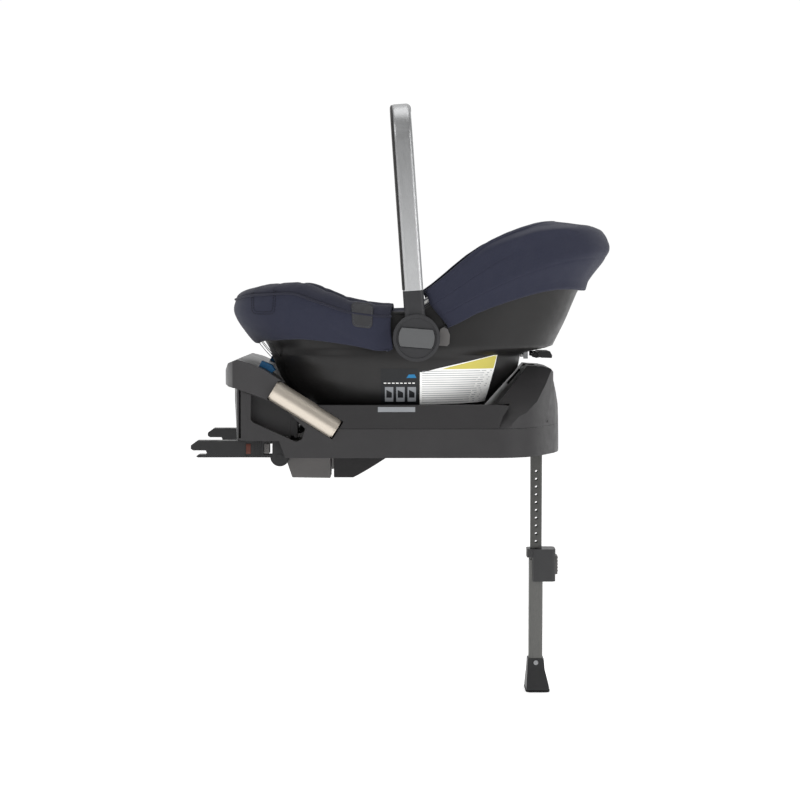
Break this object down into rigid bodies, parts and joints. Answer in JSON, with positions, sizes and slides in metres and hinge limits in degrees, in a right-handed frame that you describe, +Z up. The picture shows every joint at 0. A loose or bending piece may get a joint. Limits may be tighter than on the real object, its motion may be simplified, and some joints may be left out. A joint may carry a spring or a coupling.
{
  "type": "infant car seat",
  "caption": "Infant carrier car seat with carry handle, stowed canopy and harness, docked on a base with folding anchor arms and a telescoping load leg.",
  "frame": {"origin": "on the base's flat underside, straight below the handle's turning axis, in the middle plane", "axes": "+X towards the head end and the load leg, +Y across the seat, +Z up"},
  "size_m": [0.7325, 0.4418, 1.0555],
  "materials": {
    "base_plastic": "finely grained moulded plastic",
    "crossbar_plastic": "satin moulded plastic",
    "champagne_trim": "brushed champagne tone",
    "dark_plastic": "grained moulded plastic",
    "grey_plastic": "grained moulded plastic",
    "blue_plastic": "satin",
    "indicator": "clear cap over pale dial",
    "screw_steel": "zinc plated",
    "leg_steel": "satin anodised",
    "leg_dark_steel": "satin anodised",
    "sole_rubber": "ribbed",
    "shell_plastic": "fine grain",
    "foam": "moulded beads",
    "pad_fabric": "knitted, quilted",
    "navy_fabric": "stretch weave",
    "insert_fabric": "soft knit",
    "webbing": "woven webbing",
    "shell_hub_plastic": "satin",
    "hub_plastic": "satin",
    "button_plastic": "satin",
    "red_plastic": "satin",
    "handle_aluminium": "brushed, anodised",
    "leatherette": "stitched"
  },
  "bodies": {
    "base": {"base_lower_shell": "base_plastic", "base_upper_tray": "base_plastic", "leg_tower": "base_plastic", "rear_crossbar": "crossbar_plastic", "trim_sleeves": "champagne_trim", "belt_guides": "blue_plastic", "level_indicator": "indicator", "keel_skids": "dark_plastic", "base_screws": "screw_steel", "grip_pads": "sole_rubber", "latch_pivots": "dark_plastic", "leg_hinge_pin": "screw_steel", "hook_pin": "screw_steel"},
    "latch_hook": {"carrier_latch": "screw_steel"},
    "recline": {"recline_foot": "grey_plastic"},
    "arm_left": {"latch_arm_left": "dark_plastic"},
    "arm_right": {"latch_arm_right": "dark_plastic"},
    "jaw_left": {"latch_jaw_left": "screw_steel"},
    "jaw_right": {"latch_jaw_right": "screw_steel"},
    "arm_button_left": {"latch_button_left": "grey_plastic"},
    "arm_button_right": {"latch_button_right": "grey_plastic"},
    "leg_top": {"leg_knuckle": "dark_plastic", "leg_upper_tube": "leg_steel"},
    "leg_low": {"leg_lower_tube": "leg_dark_steel", "leg_adjuster_housing": "dark_plastic", "leg_foot": "dark_plastic", "foot_sole": "sole_rubber", "foot_rivet": "screw_steel", "leg_button_spring": "screw_steel"},
    "leg_release": {"leg_button": "grey_plastic"},
    "leg_pin": {"leg_lock_pin": "screw_steel"},
    "carrier": {"carrier_shell": "shell_plastic", "foam_liner": "foam", "seat_pad": "pad_fabric", "foot_cover": "navy_fabric", "canopy_rear": "navy_fabric", "infant_insert": "insert_fabric", "head_pillow": "insert_fabric", "shoulder_straps": "webbing", "shoulder_pads": "pad_fabric", "crotch_strap": "webbing", "buckle": "dark_plastic", "buckle_tongues": "screw_steel", "harness_adjuster": "grey_plastic", "pull_strap": "webbing", "lock_bars": "screw_steel", "hub_plates": "shell_hub_plastic", "belt_hooks": "grey_plastic"},
    "chest": {"chest_clip": "dark_plastic"},
    "buckle_press": {"buckle_button": "red_plastic"},
    "lever": {"release_lever": "dark_plastic"},
    "handle": {"handle_tube": "handle_aluminium", "handle_grip": "leatherette", "handle_trim": "leatherette", "handle_hubs": "hub_plastic"},
    "handle_press_left": {"handle_button_left": "button_plastic"},
    "handle_press_right": {"handle_button_right": "button_plastic"},
    "canopy": {"canopy_bow": "dark_plastic", "canopy_front": "navy_fabric"}
  },
  "joints": [
    {"name": "carrier_lift", "type": "slide", "parent": "base", "child": "carrier", "axis": [0, 0, 1], "range_m": [0, 0.25]},
    {"name": "carrier_hook_turn", "type": "hinge", "parent": "base", "child": "latch_hook", "pos_m": [0.214, 0, 0.112], "axis": [0, 1, 0], "range_deg": [0, 12], "stiffness_Nm_per_rad": 0.6, "springref_deg": -17.19},
    {"name": "recline_slide", "type": "slide", "parent": "base", "child": "recline", "axis": [0, 0, 1], "range_m": [0, 0.018]},
    {"name": "arm_left_fold", "type": "hinge", "parent": "base", "child": "arm_left", "pos_m": [-0.236, -0.14, 0], "axis": [0, -1, 0], "range_deg": [0, 180]},
    {"name": "arm_right_fold", "type": "hinge", "parent": "base", "child": "arm_right", "pos_m": [-0.236, 0.14, 0], "axis": [0, -1, 0], "range_deg": [0, 180]},
    {"name": "arm_left_button", "type": "slide", "parent": "arm_left", "child": "arm_button_left", "axis": [1, 0, 0], "range_m": [0, 0.004], "stiffness_N_per_m": 300, "springref_m": -0.004},
    {"name": "arm_right_button", "type": "slide", "parent": "arm_right", "child": "arm_button_right", "axis": [1, 0, 0], "range_m": [0, 0.004], "stiffness_N_per_m": 300, "springref_m": -0.004},
    {"name": "jaw_left_turn", "type": "hinge", "parent": "arm_left", "child": "jaw_left", "pos_m": [-0.346, -0.14, 0.018], "axis": [0, 1, 0], "range_deg": [0, 12]},
    {"name": "jaw_right_turn", "type": "hinge", "parent": "arm_right", "child": "jaw_right", "pos_m": [-0.346, 0.14, 0.018], "axis": [0, 1, 0], "range_deg": [0, 12]},
    {"name": "leg_fold", "type": "hinge", "parent": "base", "child": "leg_top", "pos_m": [0.219, 0, 0.016], "axis": [0, 1, 0], "range_deg": [0, 88]},
    {"name": "leg_length", "type": "slide", "parent": "leg_top", "child": "leg_low", "axis": [0, 0, 1], "range_m": [-0.0426, 0.0568]},
    {"name": "leg_button_press", "type": "slide", "parent": "leg_low", "child": "leg_release", "axis": [-1, 0, 0], "range_m": [0, 0.003], "stiffness_N_per_m": 400, "springref_m": -0.004},
    {"name": "leg_pin_draw", "type": "slide", "parent": "leg_low", "child": "leg_pin", "axis": [1, 0, 0], "range_m": [0, 0.003]},
    {"name": "chest_clip_slide", "type": "slide", "parent": "carrier", "child": "chest", "axis": [0.8291, 0, 0.5591], "range_m": [-0.015, 0.02]},
    {"name": "buckle_press_in", "type": "slide", "parent": "carrier", "child": "buckle_press", "axis": [0, 0, -1], "range_m": [0, 0.003], "stiffness_N_per_m": 500, "springref_m": -0.003},
    {"name": "lever_pull", "type": "hinge", "parent": "carrier", "child": "lever", "pos_m": [0.214, 0, 0.173], "axis": [0, 1, 0], "range_deg": [0, 12], "stiffness_Nm_per_rad": 0.5, "springref_deg": -20.05},
    {"name": "handle_turn", "type": "hinge", "parent": "carrier", "child": "handle", "pos_m": [0, 0, 0.2074], "axis": [0, 1, 0], "range_deg": [0, 120]},
    {"name": "handle_left_press", "type": "slide", "parent": "handle", "child": "handle_press_left", "axis": [0, 1, 0], "range_m": [0, 0.004], "stiffness_N_per_m": 600, "springref_m": -0.004},
    {"name": "handle_right_press", "type": "slide", "parent": "handle", "child": "handle_press_right", "axis": [0, -1, 0], "range_m": [0, 0.004], "stiffness_N_per_m": 600, "springref_m": -0.004},
    {"name": "canopy_open", "type": "hinge", "parent": "carrier", "child": "canopy", "pos_m": [0.046, 0, 0.208], "axis": [0, -1, 0], "range_deg": [0, 38]}
  ],
  "couplings": [
    {"joint": "jaw_left_turn", "follows": "arm_left_button", "rad_per_m": 50},
    {"joint": "jaw_right_turn", "follows": "arm_right_button", "rad_per_m": 50},
    {"joint": "leg_pin_draw", "follows": "leg_button_press", "ratio": 1}
  ]
}
